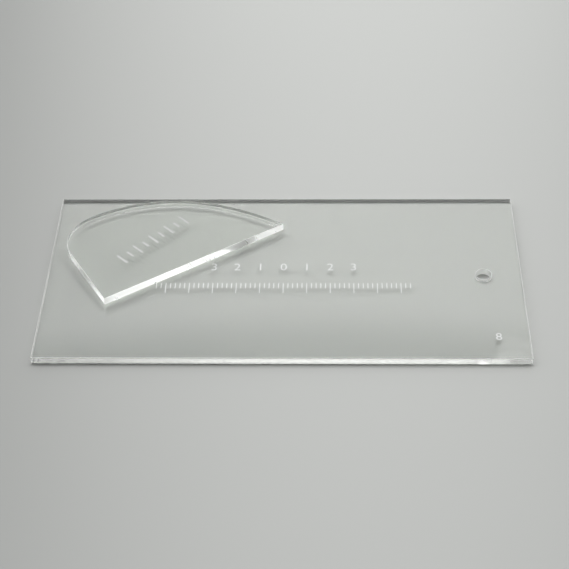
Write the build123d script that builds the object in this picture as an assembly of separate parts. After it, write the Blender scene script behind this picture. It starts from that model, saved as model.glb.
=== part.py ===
from build123d import *
from math import acos, cos, degrees, radians
import os

# Icing smoother of clear acrylic sheet: a straight-edged scraper plate, and a small curved
# hand scraper that lies loose on it. Lengths are in millimetres and angles in degrees.
# The origin is the centre of the plate's underside: +X runs along the long edges towards the
# hanging hole, +Y to the far long edge, and +Z up.

# Scraper plate, with four straight working edges.
plate_length = 203.2
plate_width = 101.6
plate_thickness = 3.175
plate_edge_round = 0.2

# Hanging hole in the plate, on the plate's middle line.
hole_radius = 3.3
hole_from_short_edge = 16.1

# Hand scraper: straight base, short side nearly square to it, then three arcs back to the base.
# Each arc starts in line with the one before.
hand_thickness = 3.5
hand_edge_round = 0.2
side_length = 33.3
side_angle = 88.7
corner_radius = 18.1
corner_turn = 87.0
crest_radius = 67.2
crest_turn = 51.2
sweep_radius = 109.0

# Where the hand scraper lies: the corner between its base and its side, measured from the
# plate's edges, the angle of its base to the plate's long edges, and the film of air that
# one flat sheet keeps under it when it lies on another.
hand_from_short_edge = 26.8
hand_from_long_edge = 31.4
hand_angle = 33.2
air_film = 0.04


def soften_rims(piece, radius):
    """Round the edges of the top and bottom faces, and leave the upright edges sharp."""
    flats = piece.faces().sort_by(Axis.Z)
    return fillet(flats[0].edges() + flats[-1].edges(), radius)


def make_scraper_plate():
    sheet = Rectangle(plate_length, plate_width)
    hole_x = plate_length / 2 - hole_from_short_edge
    outline = sheet - Pos(hole_x, 0) * Circle(hole_radius)
    return soften_rims(extrude(outline, plate_thickness), plate_edge_round)


def sweep_turn(start):
    """Angle that the last arc turns through before it meets the base line."""
    heading = side_angle - corner_turn - crest_turn
    centre_height = start.Y - sweep_radius * cos(radians(heading))
    return heading + degrees(acos(-centre_height / sweep_radius))


def make_hand_scraper():
    with BuildLine() as outline:
        side = PolarLine((0, 0), side_length, side_angle)
        corner = JernArc(side @ 1, side % 1, corner_radius, -corner_turn)
        crest = JernArc(corner @ 1, corner % 1, crest_radius, -crest_turn)
        sweep = JernArc(crest @ 1, crest % 1, sweep_radius, -sweep_turn(crest @ 1))
        Line(sweep @ 1, side @ 0)
    blank = extrude(make_face(outline.wires()), hand_thickness, dir=(0, 0, 1))
    piece = soften_rims(blank, hand_edge_round)
    corner_x = hand_from_short_edge - plate_length / 2
    corner_y = hand_from_long_edge - plate_width / 2
    underside = plate_thickness + air_film
    return Pos(corner_x, corner_y, underside) * Rot(Z=hand_angle) * piece


os.makedirs("parts", exist_ok=True)
export_step(make_scraper_plate(), "parts/scraper_plate.step")
export_step(make_hand_scraper(), "parts/hand_scraper.step")
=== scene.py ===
import math
from collections import namedtuple

import bpy
from mathutils import Matrix, Vector, noise
from mathutils.geometry import tessellate_polygon


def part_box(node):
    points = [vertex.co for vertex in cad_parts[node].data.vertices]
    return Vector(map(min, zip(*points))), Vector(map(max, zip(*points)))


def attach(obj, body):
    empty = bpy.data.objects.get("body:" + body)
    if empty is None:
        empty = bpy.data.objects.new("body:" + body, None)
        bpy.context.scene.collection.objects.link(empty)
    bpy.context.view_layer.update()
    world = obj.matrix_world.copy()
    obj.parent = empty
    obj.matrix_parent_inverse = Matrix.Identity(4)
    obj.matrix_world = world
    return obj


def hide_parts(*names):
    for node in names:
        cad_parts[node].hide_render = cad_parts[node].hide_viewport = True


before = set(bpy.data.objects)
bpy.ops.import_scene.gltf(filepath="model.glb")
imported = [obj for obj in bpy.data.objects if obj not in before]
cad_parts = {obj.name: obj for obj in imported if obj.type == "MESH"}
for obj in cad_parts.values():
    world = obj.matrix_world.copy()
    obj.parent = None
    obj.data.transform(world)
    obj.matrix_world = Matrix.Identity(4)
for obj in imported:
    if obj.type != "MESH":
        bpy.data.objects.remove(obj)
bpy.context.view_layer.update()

# Icing smoother of clear acrylic sheet: a straight-edged scraper plate, and a curved hand scraper
# that lies loose on it. Lengths are in millimetres and angles in degrees.
scene = bpy.context.scene
MM = 0.001

# The two sheets
PLATE_LOW, PLATE_HIGH = (Vector(corner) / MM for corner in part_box("scraper_plate"))
HAND_LOW, HAND_HIGH = (Vector(corner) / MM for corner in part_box("hand_scraper"))
PLATE_LENGTH = PLATE_HIGH.x - PLATE_LOW.x
PLATE_WIDTH = PLATE_HIGH.y - PLATE_LOW.y
HOLE_RADIUS = 3.3
HOLE_FROM_SHORT_EDGE = 16.1
SIDE_LENGTH = 33.3
SIDE_ANGLE = 88.7
CORNER_RADIUS = 18.1
CORNER_TURN = 87.0
CREST_RADIUS = 67.2
CREST_TURN = 51.2
SWEEP_RADIUS = 109.0
EDGE_ROUND = 0.2

# Where the hand scraper lies: the corner between its base and its side, measured from the
# plate's edges, and the angle of its base to the plate's long edges
HAND_FROM_SHORT_EDGE = 26.8
HAND_FROM_LONG_EDGE = 31.4
HAND_PLACE = Vector((PLATE_LOW.x + HAND_FROM_SHORT_EDGE, PLATE_LOW.y + HAND_FROM_LONG_EDGE))
HAND_ANGLE = 33.2

# Numbers of a sheet's materials, in the order of plate_skins and hand_skins
FACE, NEAR_CUT, FAR_CUT, RIM, HOLE_CUT = range(5)

# The cut faces. With a lean below zero the sheet is narrower at its top. skin, rim and foot are
# the materials of the face, its top rim and its bottom rim.
Wall = namedtuple("Wall", "lean skin rim foot")
# On the plate the far-cut material is painted shade: dark glass on the back face and its rims, and on the
# front face's bottom rim, which darkens the band along the back edge and the contact shadow line under the
# front edge.
FRONT_WALL = Wall(lean=-4.0, skin=NEAR_CUT, rim=RIM, foot=FAR_CUT)
BACK_WALL = Wall(lean=-3.0, skin=FAR_CUT, rim=FAR_CUT, foot=FAR_CUT)
STRAIGHT_WALL = Wall(lean=0.0, skin=NEAR_CUT, rim=RIM, foot=RIM)
CURVED_WALL = Wall(lean=0.0, skin=FAR_CUT, rim=FAR_CUT, foot=RIM)
CORNER_WALL = Wall(lean=0.0, skin=FAR_CUT, rim=RIM, foot=RIM)
HOLE_WALL = Wall(lean=0.0, skin=HOLE_CUT, rim=RIM, foot=RIM)

# Steps of the mesh up a rounded rim and up the face between the rims, and along the outlines
ROUND_STEPS = 4
WALL_STEPS = 8
ROWS = 2 * ROUND_STEPS + WALL_STEPS + 1
STRAIGHT_STEP = 0.4
HAND_ARC_STEP = 0.28
HOLE_STEP = STRAIGHT_STEP / 3

# Ripples that the cutter left on the cut faces. They change more slowly up a face than along it,
# by RIPPLE_STRETCH, and die out within RIPPLE_FADE of a sharp corner. Their slope is taken over
# SLOPE_STEP.
Ripple = namedtuple("Ripple", "length depth slant seed")
PLATE_RIPPLES = (Ripple(1.6, 0.004, 0.1, 3), Ripple(6.0, 0.010, 0.2, 8))
HAND_RIPPLES = (Ripple(1.4, 0.005, 0.2, 21), Ripple(6.0, 0.012, 0.3, 33))
RIPPLE_STRETCH = 6
RIPPLE_FADE = 0.8
SLOPE_STEP = 0.02

# Two runs of an outline meet at a sharp corner if their outward directions differ by more than
# CORNER_DIFFERENCE, and as one smooth run if the cosine between them is over SMOOTH_COSINE.
CORNER_DIFFERENCE = 0.01
SMOOTH_COSINE = 0.999


def polar(angle):
    """The direction at an angle."""
    return Vector((math.cos(math.radians(angle)), math.sin(math.radians(angle))))


# Outlines run counter-clockwise. Each is a list of (stations, wall), and a station is
# (point, outward direction).
def straight(start, end, wall):
    start, end = Vector(start), Vector(end)
    way = (end - start).normalized()
    count = round((end - start).length / STRAIGHT_STEP)
    return [(start.lerp(end, i / count), Vector((way.y, -way.x))) for i in range(count + 1)], wall


def arc(centre, radius, start, end, step, wall):
    """An arc from one angle to another. A clockwise one is the rim of a hole."""
    turn = math.radians(end - start)
    count = round(abs(turn) * radius / step)
    side = 1 if turn > 0 else -1
    stations = []
    for i in range(count + 1):
        out = polar(start + (end - start) * i / count)
        stations.append((Vector(centre) + out * radius, out * side))
    return stations, wall


def plate_outline():
    x, y = PLATE_LENGTH / 2, PLATE_WIDTH / 2
    corners = [(-x, -y), (x, -y), (x, y), (-x, y)]
    walls = [FRONT_WALL, STRAIGHT_WALL, BACK_WALL, STRAIGHT_WALL]
    return [straight(corners[i], corners[(i + 1) % 4], walls[i]) for i in range(4)]


def hole_outline():
    centre = (PLATE_LENGTH / 2 - HOLE_FROM_SHORT_EDGE, 0)
    return [arc(centre, HOLE_RADIUS, 360, 0, HOLE_STEP, HOLE_WALL)]


def hand_outline():
    """Base, sweep, crest, corner and side. Each arc ends in line with the next one."""
    start_angle = SIDE_ANGLE + 90
    corner_end = start_angle - CORNER_TURN
    crest_end = corner_end - CREST_TURN
    side_top = polar(SIDE_ANGLE) * SIDE_LENGTH
    corner_centre = side_top + polar(SIDE_ANGLE - 90) * CORNER_RADIUS
    crest_centre = corner_centre + polar(corner_end) * (CORNER_RADIUS - CREST_RADIUS)
    sweep_centre = crest_centre + polar(crest_end) * (CREST_RADIUS - SWEEP_RADIUS)
    tip_angle = math.degrees(math.asin(-sweep_centre.y / SWEEP_RADIUS))
    tip = sweep_centre + polar(tip_angle) * SWEEP_RADIUS
    runs = [
        straight((0, 0), tip, STRAIGHT_WALL),
        arc(sweep_centre, SWEEP_RADIUS, tip_angle, crest_end, HAND_ARC_STEP, CURVED_WALL),
        arc(crest_centre, CREST_RADIUS, crest_end, corner_end, HAND_ARC_STEP, CURVED_WALL),
        arc(corner_centre, CORNER_RADIUS, corner_end, start_angle, HAND_ARC_STEP, CORNER_WALL),
        straight(side_top, (0, 0), STRAIGHT_WALL),
    ]
    turn = Matrix.Rotation(math.radians(HAND_ANGLE), 2)
    return [([(HAND_PLACE + turn @ point, turn @ out) for point, out in stations], wall)
            for stations, wall in runs]


def profile(bottom, top, wall):
    """Rows of a cut face from the bottom up: (offset, height, normal out, normal up, ripple share)."""
    middle, half = (bottom + top) / 2, (top - bottom) / 2
    foot = []
    for i in range(ROUND_STEPS):
        angle = math.radians(-90 + 90 * i / ROUND_STEPS)
        out, up = math.cos(angle), math.sin(angle)
        foot.append((EDGE_ROUND * (out - 1), bottom + EDGE_ROUND * (1 + up), out, up, i / ROUND_STEPS))
    face = [(0, bottom + EDGE_ROUND + 2 * (half - EDGE_ROUND) * i / WALL_STEPS, 1, 0, 1)
            for i in range(WALL_STEPS + 1)]
    rim = [(offset, bottom + top - height, out, -up, share)
           for offset, height, out, up, share in reversed(foot)]
    tilt = math.tan(math.radians(wall.lean))
    return [(offset + tilt * (height - middle), height, out, up - out * tilt, share)
            for offset, height, out, up, share in foot + face + rim]


def row_skin(row, wall):
    """The material between one row of a cut face and the next row up."""
    if row < ROUND_STEPS:
        return wall.foot
    return wall.skin if row < ROUND_STEPS + WALL_STEPS else wall.rim


def swell(point, along, height, ripples):
    """How far the ripples stand out at a place on a cut face."""
    total = 0
    for ripple in ripples:
        place = (point + along * (height * ripple.slant)) / ripple.length
        rise = height / (ripple.length * RIPPLE_STRETCH)
        total += ripple.depth * noise.noise(Vector((place.x, place.y, ripple.seed + rise)))
    return total


def run_starts(loop):
    """Distance along an outline to the start of each of its runs, and then its whole length."""
    starts = [0]
    for stations, _ in loop:
        gaps = ((after[0] - before[0]).length for before, after in zip(stations, stations[1:]))
        starts.append(starts[-1] + sum(gaps))
    return starts


def sharp_corners(loop, starts):
    """Distances along an outline to its sharp corners."""
    return [starts[k] for k in range(len(loop))
            if (loop[k][0][0][1] - loop[k - 1][0][-1][1]).length > CORNER_DIFFERENCE]


def fade_share(place, corners, length):
    """Ripples die out at a sharp corner, where two faces share one edge."""
    if not corners:
        return 1
    gaps = [abs(place - corner) for corner in corners]
    return min(1, min(min(gap, length - gap) for gap in gaps) / RIPPLE_FADE)


def mitre(out, offset, other_out, other_offset):
    """The shift that puts a corner at both its walls' offsets."""
    lap = out.dot(other_out)
    if lap > SMOOTH_COSINE:
        return out * offset
    shift = out * (offset - other_offset * lap) + other_out * (other_offset - offset * lap)
    return shift / (1 - lap * lap)


def column_points(station, rows, ripples, fade, meeting):
    """Points up a cut face at one station. meeting is (direction, rows) of a wall that meets it there."""
    point, out = station
    along = Vector((-out.y, out.x))
    points = []
    for j, (offset, height, _, _, share) in enumerate(rows):
        depth = share * fade * swell(point, along, height, ripples)
        shift = out * (offset + depth)
        if meeting:
            other_out, other_rows = meeting
            shift = mitre(out, offset + depth, other_out, other_rows[j][0] + depth)
        points.append(((point.x + shift.x) * MM, (point.y + shift.y) * MM, height * MM))
    return points


def column_normals(station, rows, ripples, fade):
    """Normals up a cut face at one station. The first and last belong to the flat faces."""
    point, out = station
    along = Vector((-out.y, out.x))
    normals = []
    for _, height, across, up, share in rows:
        pull = share * fade
        here = swell(point, along, height, ripples)
        drift = (swell(point + along * SLOPE_STEP, along, height, ripples) - here) / SLOPE_STEP
        climb = (swell(point, along, height + SLOPE_STEP, ripples) - here) / SLOPE_STEP
        normal = Vector((out.x * across, out.y * across, up - climb * pull * across))
        normal -= Vector((along.x, along.y, 0)) * (drift * pull * across)
        normals.append(normal.normalized())
    normals[0] = Vector((0, 0, -1))
    normals[-1] = Vector((0, 0, 1))
    return normals


def ring_mesh(loop, bottom, top, ripples):
    """Points, faces, corner normals and material numbers of the cut face round one outline."""
    verts, faces, normals, skins = [], [], [], []
    starts = run_starts(loop)
    corners = sharp_corners(loop, starts)
    count = sum(len(stations) - 1 for stations, _ in loop)
    first = 0
    for k, (stations, wall) in enumerate(loop):
        rows = profile(bottom, top, wall)
        last_stations, last_wall = loop[k - 1]
        meeting = (last_stations[-1][1], profile(bottom, top, last_wall))
        place = starts[k]
        columns = []
        for i, station in enumerate(stations):
            if i:
                place += (station[0] - stations[i - 1][0]).length
            fade = fade_share(place, corners, starts[-1])
            if i < len(stations) - 1:
                verts += column_points(station, rows, ripples, fade, None if i else meeting)
            columns.append(column_normals(station, rows, ripples, fade))
        for i in range(len(stations) - 1):
            a, b = (first + i) * ROWS, (first + i + 1) % count * ROWS
            for j in range(ROWS - 1):
                faces.append((a + j, b + j, b + j + 1, a + j + 1))
                normals += [columns[i][j], columns[i + 1][j], columns[i + 1][j + 1], columns[i][j + 1]]
                skins.append(row_skin(j, wall))
        first += len(stations) - 1
    return verts, faces, normals, skins


def flat_face(verts, rings, up):
    """Triangles of a flat face between rings of points, turned to face up or down."""
    ids = [v for ring in rings for v in ring]
    rims = [[Vector((verts[v][0], verts[v][1], 0)) / MM for v in ring] for ring in rings]
    faces = []
    for corners in tessellate_polygon(rims):
        a, b, c = (ids[corner] for corner in corners)
        turn = (verts[b][0] - verts[a][0]) * (verts[c][1] - verts[a][1])
        turn -= (verts[b][1] - verts[a][1]) * (verts[c][0] - verts[a][0])
        faces.append((a, b, c) if turn * up > 0 else (a, c, b))
    return faces


def sheet_mesh(name, loops, bottom, top, ripples):
    """A cut sheet with softened rims. loops holds its outline, then its holes."""
    verts, faces, normals, skins, columns = [], [], [], [], []
    for loop in loops:
        first = len(verts)
        ring_verts, ring_faces, ring_normals, ring_skins = ring_mesh(loop, bottom, top, ripples)
        verts += ring_verts
        faces += [tuple(first + v for v in face) for face in ring_faces]
        normals += ring_normals
        skins += ring_skins
        columns.append(range(first, len(verts), ROWS))
    for row, up in ((0, -1), (ROWS - 1, 1)):
        triangles = flat_face(verts, [[v + row for v in ring] for ring in columns], up)
        faces += triangles
        normals += [Vector((0, 0, up))] * (3 * len(triangles))
        skins += [FACE] * len(triangles)
    mesh = bpy.data.meshes.new(name)
    mesh.from_pydata(verts, [], faces)
    mesh.polygons.foreach_set("use_smooth", [True] * len(faces))
    mesh.polygons.foreach_set("material_index", skins)
    mesh.normals_split_custom_set(normals)
    return mesh


# Marks: thin frosted strokes, a hair above the top faces
MARK_BOTTOM = 0.005
MARK_TOP = 0.020

# Seven numerals in a row across the plate's middle
NUMERALS = "3210123"
NUMERAL_HEIGHT = 4.4
NUMERAL_PITCH = 10.0
NUMERAL_Y = 4.5

# A scale under them, whose strokes hang down from SCALE_Y
SCALE_Y = -5.8
SCALE_HALF = 54
SCALE_PITCH = 2
SCALE_LONG_PITCH = 10
SCALE_WIDTH = 0.45
SCALE_SHORT = 3.2
SCALE_LONG = 6.2

# The size numeral in the corner by the hanging hole
SIZE_NUMERAL = "8"
SIZE_PLACE = (88.8, -38.0)
SIZE_HEIGHT = 4.0

# Bars on the hand scraper, long and short by turns. The place and the angle of their row are
# measured from the corner between its base and its side, and from its base.
BARS_PLACE = (35.5, 22.3)
BARS_ANGLE = 13.4
BAR_COUNT = 9
BAR_PITCH = 4.5
BAR_WIDTH = 0.9
BAR_HEIGHTS = (6.5, 4.0)

# Depth and smoothness of the raw numerals, before they are scaled to their height and rise
RAW_DEPTH = 0.5
RAW_SMOOTHNESS = 4


def stroke(low, high):
    """A closed box between two corners of a mark. Height 0 is its underside and 1 its top."""
    (x0, y0), (x1, y1) = low, high
    verts = [(x, y, z) for z in (0, 1) for x, y in ((x0, y0), (x1, y0), (x1, y1), (x0, y1))]
    sides = [(i, (i + 1) % 4, (i + 1) % 4 + 4, i + 4) for i in range(4)]
    return verts, [(3, 2, 1, 0), (4, 5, 6, 7)] + sides


def numeral(text, height, place):
    """A closed solid of one numeral, centred on its place, with its heights from 0 to 1."""
    curve = bpy.data.curves.new("numeral", "FONT")
    curve.body = text
    curve.extrude = RAW_DEPTH
    curve.resolution_u = RAW_SMOOTHNESS
    carrier = bpy.data.objects.new("numeral", curve)
    mesh = bpy.data.meshes.new_from_object(carrier)
    points = [v.co for v in mesh.vertices]
    low = [min(p[k] for p in points) for k in range(3)]
    high = [max(p[k] for p in points) for k in range(3)]
    scale = height / (high[1] - low[1])
    middle = [(low[k] + high[k]) / 2 for k in range(2)]
    verts = [(place[0] + (p.x - middle[0]) * scale, place[1] + (p.y - middle[1]) * scale,
              (p.z - low[2]) / (high[2] - low[2])) for p in points]
    faces = [tuple(face.vertices) for face in mesh.polygons]
    bpy.data.objects.remove(carrier)
    bpy.data.meshes.remove(mesh)
    bpy.data.curves.remove(curve)
    return verts, faces


def marks_mesh(name, shapes, place, angle, level):
    """One mesh of several marks, turned and moved onto the top face at a level."""
    turn = Matrix.Rotation(math.radians(angle), 2)
    verts, faces = [], []
    for shape_verts, shape_faces in shapes:
        first = len(verts)
        faces += [tuple(first + v for v in face) for face in shape_faces]
        for x, y, rise in shape_verts:
            spot = Vector(place) + turn @ Vector((x, y))
            height = level + MARK_BOTTOM + (MARK_TOP - MARK_BOTTOM) * rise
            verts.append((spot.x * MM, spot.y * MM, height * MM))
    mesh = bpy.data.meshes.new(name)
    mesh.from_pydata(verts, [], faces)
    return mesh


def plate_marks():
    half = (len(NUMERALS) - 1) / 2
    shapes = [numeral(text, NUMERAL_HEIGHT, ((k - half) * NUMERAL_PITCH, NUMERAL_Y))
              for k, text in enumerate(NUMERALS)]
    for x in range(-SCALE_HALF, SCALE_HALF + 1, SCALE_PITCH):
        drop = SCALE_SHORT if x % SCALE_LONG_PITCH else SCALE_LONG
        shapes.append(stroke((x - SCALE_WIDTH / 2, SCALE_Y - drop), (x + SCALE_WIDTH / 2, SCALE_Y)))
    shapes.append(numeral(SIZE_NUMERAL, SIZE_HEIGHT, SIZE_PLACE))
    return marks_mesh("plate_marks", shapes, (0, 0), 0, PLATE_HIGH.z)


def hand_marks():
    shapes = []
    for k in range(BAR_COUNT):
        x = (k - (BAR_COUNT - 1) / 2) * BAR_PITCH
        half = BAR_HEIGHTS[k % 2] / 2
        shapes.append(stroke((x - BAR_WIDTH / 2, -half), (x + BAR_WIDTH / 2, half)))
    place = HAND_PLACE + Matrix.Rotation(math.radians(HAND_ANGLE), 2) @ Vector(BARS_PLACE)
    return marks_mesh("hand_marks", shapes, place, HAND_ANGLE + BARS_ANGLE, HAND_HIGH.z)


# Nodes
def add(tree, kind, settings=None, **inputs):
    """A node with its settings. An input is a value or another node's output."""
    made = tree.nodes.new(kind)
    for name, value in (settings or {}).items():
        setattr(made, name, value)
    for name, value in inputs.items():
        numbered = name[0] == "i" and name[1:].isdigit()
        socket = made.inputs[int(name[1:])] if numbered else made.inputs[name.replace("_", " ")]
        if isinstance(value, bpy.types.NodeSocket):
            tree.links.new(value, socket)
        else:
            socket.default_value = value
    return made


def math_node(tree, operation, *values):
    inputs = {f"i{k}": v for k, v in enumerate(values)}
    return add(tree, "ShaderNodeMath", {"operation": operation}, **inputs).outputs[0]


def chain(tree, operation, values):
    """One operation over several values, from the first to the last."""
    result = values[0]
    for value in values[1:]:
        result = math_node(tree, operation, result, value)
    return result


def times(tree, *values):
    return chain(tree, "MULTIPLY", values)


def plus(tree, *values):
    return chain(tree, "ADD", values)


def step_up(tree, value, low, high):
    """0 below low, 1 above high and smooth between. With low above high it falls instead."""
    made = add(tree, "ShaderNodeMapRange", {"interpolation_type": "SMOOTHSTEP"}, Value=value)
    rises = low < high
    made.inputs["From Min"].default_value = min(low, high)
    made.inputs["From Max"].default_value = max(low, high)
    made.inputs["To Min"].default_value = 0 if rises else 1
    made.inputs["To Max"].default_value = 1 if rises else 0
    return made.outputs[0]


def object_place(tree):
    """The three coordinates of the place that is shaded, in the object's own frame."""
    place = add(tree, "ShaderNodeTexCoord").outputs["Object"]
    return add(tree, "ShaderNodeSeparateXYZ", None, i0=place).outputs


# Materials
ACRYLIC_IOR = 1.491
ACRYLIC_TINT = (0.935, 0.945, 0.930)
# The plate's far cut is tinted dark as painted shade, for the dark band along its back edge and the
# contact shadow line under its front face.
FAR_CUT_PAINTED_SHADE_TINT = (0.15, 0.156, 0.147)
# The rims' glass tint, which on the plate is also the white of their painted highlight.
RIM_TINT_AND_PAINTED_HIGHLIGHT = (0.96, 0.97, 0.96)

# Roughness of each kind of surface, and the share by which it varies either way
FACE_ROUGHNESS = 0.01
PLATE_NEAR_ROUGHNESS = 0.20
PLATE_FAR_ROUGHNESS = 0.10
PLATE_RIM_ROUGHNESS = 0.55
HOLE_ROUGHNESS = 0.70
HAND_STRAIGHT_ROUGHNESS = 0.30
HAND_CURVED_ROUGHNESS = 0.05
HAND_RIM_ROUGHNESS = 0.75
MARK_ROUGHNESS = 0.6
UNEVEN_SHARE = 0.25

# How clear the rims are, from 0 for white to 1 for clear. On the plate the white share is a
# painted highlight, for the bright lines that light draws along the rounded rims.
PLATE_RIM_CLEAR_SHARE = 0.3
HAND_RIM_CLEAR_SHARE = 1.0

# Length and depth of the fine relief in each kind of surface, and the detail of its noise
FACE_GRAIN = (14.0, 0.0025)
CUT_GRAIN = (1.1, 0.020)
RIM_GRAIN = (0.5, 0.010)
MARK_GRAIN = (0.4, 0.003)
GRAIN_DETAIL = 2.0

# Sideways shift of a cutter streak for each unit of height, and how much longer than wide it is
STREAK_SLANT = 0.35
STREAK_STRETCH = 7.0

# Paleness of the frosted marks on each piece, and the slight green of the sheet in them
PLATE_MARK_SHADE = 0.70
HAND_MARK_SHADE = 0.52
MARK_GREEN_SHARE = 1.01


def new_material(name):
    """A material, its nodes and its shader."""
    material = bpy.data.materials.new(name)
    material.use_nodes = True
    return material, material.node_tree, material.node_tree.nodes["Principled BSDF"]


def streaks(tree, length, slant=0.0, stretch=1.0):
    """Noise with spots of one length across, slanted and stretched up a cut face."""
    x, y, z = object_place(tree)
    lean = times(tree, z, slant)
    place = add(tree, "ShaderNodeCombineXYZ", None, X=plus(tree, x, lean), Y=plus(tree, y, lean),
                Z=times(tree, z, 1 / stretch)).outputs[0]
    scale = 1 / (length * MM)
    return add(tree, "ShaderNodeTexNoise", None, Vector=place, Scale=scale, Detail=GRAIN_DETAIL).outputs[0]


def surface(tree, shader, noise_value, roughness, depth):
    """Uneven roughness and relief from one noise."""
    swing = times(tree, noise_value, 2 * UNEVEN_SHARE * roughness)
    uneven = plus(tree, swing, roughness * (1 - UNEVEN_SHARE))
    tree.links.new(uneven, shader.inputs["Roughness"])
    bump = add(tree, "ShaderNodeBump", None, Height=noise_value, Distance=depth * MM, Strength=1.0)
    tree.links.new(bump.outputs[0], shader.inputs["Normal"])


def acrylic(name, tint, roughness, grain, slant=0.0, stretch=1.0):
    material, tree, shader = new_material(name)
    shader.inputs["Base Color"].default_value = (*tint, 1)
    shader.inputs["IOR"].default_value = ACRYLIC_IOR
    shader.inputs["Transmission Weight"].default_value = 1.0
    surface(tree, shader, streaks(tree, grain[0], slant, stretch), roughness, grain[1])
    return material


def face_acrylic(name):
    """The polished top and bottom faces."""
    return acrylic(name, ACRYLIC_TINT, FACE_ROUGHNESS, FACE_GRAIN)


def cut_acrylic(name, roughness, tint=ACRYLIC_TINT):
    """A cut face with the cutter's streaks."""
    return acrylic(name, tint, roughness, CUT_GRAIN, STREAK_SLANT, STREAK_STRETCH)


def rim_acrylic(name, roughness, clear_share):
    """The narrow rounded rims beside the cut faces. Their white share is a painted highlight for the
    bright lines along them.
    """
    material = acrylic(name, RIM_TINT_AND_PAINTED_HIGHLIGHT, roughness, RIM_GRAIN)
    shader = material.node_tree.nodes["Principled BSDF"]
    shader.inputs["Transmission Weight"].default_value = clear_share
    return material


def frosted(name, shade):
    """Frosted marks, a little paler than the sheet that they are on."""
    material, tree, shader = new_material(name)
    shader.inputs["Base Color"].default_value = (shade, shade * MARK_GREEN_SHARE, shade, 1)
    surface(tree, shader, streaks(tree, MARK_GRAIN[0]), MARK_ROUGHNESS, MARK_GRAIN[1])
    return material


# Floor: pale paper with a painted pool of light, palest at FLOOR_PALEST_X. Over FLOOR_REACH the
# painted light darkens by FLOOR_FALL_SHARE to both sides, and grows paler by FLOOR_RISE_SHARE towards the
# back. It stays between the least and the most share of FLOOR_LEVEL, and bends towards them within
# FLOOR_BLEND.
FLOOR_HALF_WIDTH = 6000.0
FLOOR_DROP = 0.02
FLOOR_LEVEL = 0.507
FLOOR_TINT = (0.996, 1.014, 0.986)
FLOOR_ROUGHNESS = 0.9
FLOOR_PALEST_X = 43.0
FLOOR_REACH = 200.0
FLOOR_FALL_SHARE = 0.41
FLOOR_RISE_SHARE = 0.11
FLOOR_LEAST_SHARE = 0.70
FLOOR_MOST_SHARE = 1.15
FLOOR_BLEND = 0.10


def floor_paper_painted_light():
    material, tree, shader = new_material("floor_paper_painted_light")
    x, y, _ = object_place(tree)
    reach = FLOOR_REACH * MM
    across = math_node(tree, "DIVIDE", math_node(tree, "SUBTRACT", x, FLOOR_PALEST_X * MM), reach)
    fall = times(tree, across, across, -FLOOR_FALL_SHARE)
    rise = times(tree, math_node(tree, "DIVIDE", y, reach), FLOOR_RISE_SHARE)
    shade = plus(tree, 1.0, fall, rise)
    shade = math_node(tree, "SMOOTH_MAX", shade, FLOOR_LEAST_SHARE, FLOOR_BLEND)
    shade = math_node(tree, "SMOOTH_MIN", shade, FLOOR_MOST_SHARE, FLOOR_BLEND)
    level = times(tree, shade, FLOOR_LEVEL)
    red, green, blue = (times(tree, level, share) for share in FLOOR_TINT)
    colour = add(tree, "ShaderNodeCombineColor", None, Red=red, Green=green, Blue=blue)
    tree.links.new(colour.outputs[0], shader.inputs["Base Color"])
    shader.inputs["Roughness"].default_value = FLOOR_ROUGHNESS
    shader.inputs["Specular IOR Level"].default_value = 0.0
    return material


def make_floor():
    size = FLOOR_HALF_WIDTH * MM
    mesh = bpy.data.meshes.new("floor")
    corners = [(-size, -size, 0), (size, -size, 0), (size, size, 0), (-size, size, 0)]
    mesh.from_pydata(corners, [], [(0, 1, 2, 3)])
    floor = bpy.data.objects.new("floor", mesh)
    floor.location.z = -FLOOR_DROP * MM
    scene.collection.objects.link(floor)
    mesh.materials.append(floor_paper_painted_light())


# Camera, solved on the plate's corners in the photo. Its height is above the plate's top face.
IMAGE_PX = 569
FOCAL_PX = 1476.5
SENSOR_WIDTH = 36
CAMERA_PLACE = (18.3, -469.6, 424.4)
CAMERA_YAW = 2.197
CAMERA_PITCH = 42.492
CAMERA_ROLL = -1.446
CAMERA_NEAREST = 10.0
CAMERA_FARTHEST = 20000.0


def make_camera():
    data = bpy.data.cameras.new("camera")
    camera = bpy.data.objects.new("camera", data)
    scene.collection.objects.link(camera)
    data.sensor_fit = "HORIZONTAL"
    data.sensor_width = SENSOR_WIDTH
    data.lens = FOCAL_PX / IMAGE_PX * SENSOR_WIDTH
    data.clip_start = CAMERA_NEAREST * MM
    data.clip_end = CAMERA_FARTHEST * MM
    x, y, height = CAMERA_PLACE
    camera.location = (x * MM, y * MM, (height + PLATE_HIGH.z) * MM)
    turn = Matrix.Rotation(math.radians(CAMERA_YAW), 3, "Z")
    turn = turn @ Matrix.Rotation(math.pi / 2 - math.radians(CAMERA_PITCH), 3, "X")
    turn = turn @ Matrix.Rotation(math.radians(CAMERA_ROLL), 3, "Z")
    camera.rotation_euler = turn.to_euler()
    scene.camera = camera


# Lights. The azimuth is zero straight behind the part and grows to the right. A pair of angles is
# an edge that fades: a light begins between them, or ends where the first is the larger.

# Wall behind the part
BACK_LIGHT = 1.05
BACK_TOP = (45.1, 43.0)
BACK_SIDE = (21.0, 17.0)

# Light above that wall. Its lowest part is the sill, which gives way to the rest at SILL_TOP and
# is dimmer on the left.
TOP_LIGHT = 4.4
TOP_LOW = (45.7, 46.1)
TOP_HIGH = (80.0, 72.0)
TOP_SIDE = (72.0, 54.0)
SILL_LIGHT = 5.2
SILL_TOP = (51.0, 56.0)
SILL_LEFT_SHARE = 0.8
SILL_LEFT_FADE = (-12.0, -4.0)

# Small bright patch right of the middle, between the wall and the light above it
PATCH_LIGHT = 0.85
PATCH_LEFT = (9.1, 9.5)
PATCH_LOW = (43.8, 44.2)
PATCH_HIGH = (46.0, 45.7)

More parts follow.
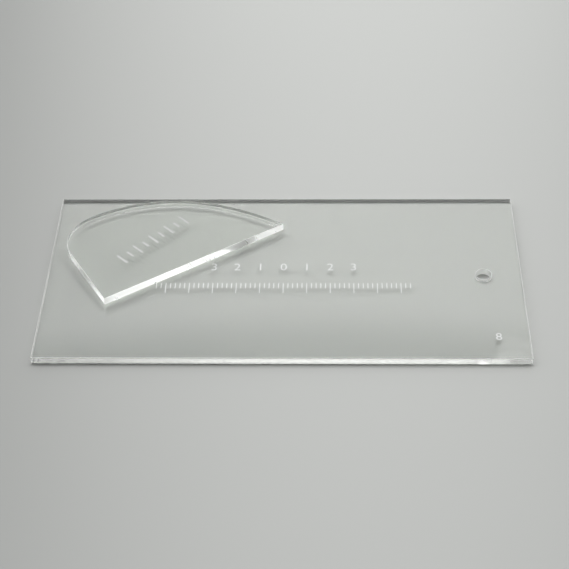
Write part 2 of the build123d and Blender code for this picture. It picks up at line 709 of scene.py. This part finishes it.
# Lights on both sides, from where the wall ends. They meet behind the part, and are dimmer below
# the middle of their height.
LEFT_LIGHT = 1.8
RIGHT_LIGHT = 1.8
LEFT_FAR = (122.0, 112.0)
RIGHT_FAR = (100.0, 85.0)
SIDES_MEET = (-1.0, 1.0)
SIDE_LOW = (5.0, 12.0)
SIDE_MIDDLE = (32.0, 36.0)
SIDE_HIGH = (56.0, 46.0)
SIDE_LOW_SHARE = 0.6

# The dim room in front of the part, and straight overhead. They begin where the right light and
# the top light end.
ROOM_LIGHT = 0.06
ZENITH_LIGHT = 0.3


def make_world():
    world = bpy.data.worlds.new("world")
    world.use_nodes = True
    scene.world = world
    tree = world.node_tree
    coord = add(tree, "ShaderNodeTexCoord").outputs["Generated"]
    x, y, z = add(tree, "ShaderNodeSeparateXYZ", None, i0=coord).outputs
    elevation = math_node(tree, "DEGREES", math_node(tree, "ARCSINE", z))
    azimuth = math_node(tree, "DEGREES", math_node(tree, "ARCTAN2", x, y))
    aside = math_node(tree, "ABSOLUTE", azimuth)

    behind = step_up(tree, aside, *BACK_SIDE)
    back = times(tree, behind, step_up(tree, elevation, *BACK_TOP), BACK_LIGHT)
    patch = times(tree, behind, step_up(tree, azimuth, *PATCH_LEFT), step_up(tree, elevation, *PATCH_LOW),
                  step_up(tree, elevation, *PATCH_HIGH), PATCH_LIGHT)

    undimmed = times(tree, step_up(tree, azimuth, *SILL_LEFT_FADE), 1 - SILL_LEFT_SHARE)
    dim_left = plus(tree, SILL_LEFT_SHARE, undimmed)
    top = times(tree, step_up(tree, elevation, *TOP_LOW), step_up(tree, elevation, *TOP_HIGH),
                step_up(tree, aside, *TOP_SIDE))
    sill = times(tree, dim_left, SILL_LIGHT, step_up(tree, elevation, *reversed(SILL_TOP)))
    top = times(tree, top, plus(tree, sill, times(tree, step_up(tree, elevation, *SILL_TOP), TOP_LIGHT)))

    right = step_up(tree, azimuth, *SIDES_MEET)
    left = plus(tree, 1.0, times(tree, right, -1.0))
    ends = plus(tree, times(tree, right, step_up(tree, azimuth, *RIGHT_FAR), RIGHT_LIGHT),
                times(tree, left, step_up(tree, aside, *LEFT_FAR), LEFT_LIGHT))
    undimmed = times(tree, step_up(tree, elevation, *SIDE_MIDDLE), 1 - SIDE_LOW_SHARE)
    upper = plus(tree, SIDE_LOW_SHARE, undimmed)
    beside = times(tree, step_up(tree, aside, *reversed(BACK_SIDE)), ends, upper,
                   step_up(tree, elevation, *SIDE_LOW), step_up(tree, elevation, *SIDE_HIGH))

    zenith = times(tree, step_up(tree, elevation, *reversed(TOP_HIGH)), ZENITH_LIGHT)
    front = times(tree, step_up(tree, aside, *reversed(RIGHT_FAR)), ROOM_LIGHT)
    total = plus(tree, math_node(tree, "MAXIMUM", top, beside),
                 math_node(tree, "MAXIMUM", back, patch), zenith, front)
    tree.links.new(total, tree.nodes["Background"].inputs["Strength"])
    tree.nodes["Background"].inputs["Color"].default_value = (1, 1, 1, 1)


# Pieces
def place_piece(piece, body, skins):
    """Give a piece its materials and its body."""
    scene.collection.objects.link(piece)
    for skin in skins:
        piece.data.materials.append(skin)
    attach(piece, body)


def plate_skins():
    return [
        face_acrylic("plate_acrylic"),
        cut_acrylic("plate_cut", PLATE_NEAR_ROUGHNESS),
        # The far cut's dark tint is painted shade.
        cut_acrylic("plate_far_cut_painted_shade", PLATE_FAR_ROUGHNESS, FAR_CUT_PAINTED_SHADE_TINT),
        # The plate's rims are mostly white: a painted highlight.
        rim_acrylic("plate_rim_painted_highlight", PLATE_RIM_ROUGHNESS, PLATE_RIM_CLEAR_SHARE),
        cut_acrylic("plate_hole_cut", HOLE_ROUGHNESS),
    ]


def hand_skins():
    return [
        face_acrylic("hand_acrylic"),
        cut_acrylic("hand_straight_cut", HAND_STRAIGHT_ROUGHNESS),
        cut_acrylic("hand_curved_cut", HAND_CURVED_ROUGHNESS),
        rim_acrylic("hand_rim", HAND_RIM_ROUGHNESS, HAND_RIM_CLEAR_SHARE),
    ]


def make_sheets():
    plate = bpy.data.objects.new("clear_plate", sheet_mesh(
        "clear_plate", [plate_outline(), hole_outline()], PLATE_LOW.z, PLATE_HIGH.z, PLATE_RIPPLES))
    hand = bpy.data.objects.new("clear_hand_scraper", sheet_mesh(
        "clear_hand_scraper", [hand_outline()], HAND_LOW.z, HAND_HIGH.z, HAND_RIPPLES))
    for piece, node_name, body, slot, skins in (
        (plate, "scraper_plate", "plate", "plate_acrylic", plate_skins()),
        (hand, "hand_scraper", "hand_scraper", "hand_acrylic", hand_skins()),
    ):
        place_piece(piece, body, skins)
        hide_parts(node_name)


def make_marks():
    for mesh, body, slot, shade in (
        (plate_marks(), "plate", "plate_acrylic", PLATE_MARK_SHADE),
        (hand_marks(), "hand_scraper", "hand_acrylic", HAND_MARK_SHADE),
    ):
        place_piece(bpy.data.objects.new(mesh.name, mesh), body, [frosted(mesh.name, shade)])


# Light goes through many faces of the clear sheets, and its bright and dark lines stay sharp
LIGHT_BOUNCES = 64

make_camera()
make_floor()
make_world()
make_sheets()
make_marks()
scene.cycles.max_bounces = LIGHT_BOUNCES
scene.cycles.transmission_bounces = LIGHT_BOUNCES
scene.cycles.glossy_bounces = LIGHT_BOUNCES
scene.cycles.blur_glossy = 0
scene.cycles.sample_clamp_indirect = 0
scene.view_settings.view_transform = "Standard"
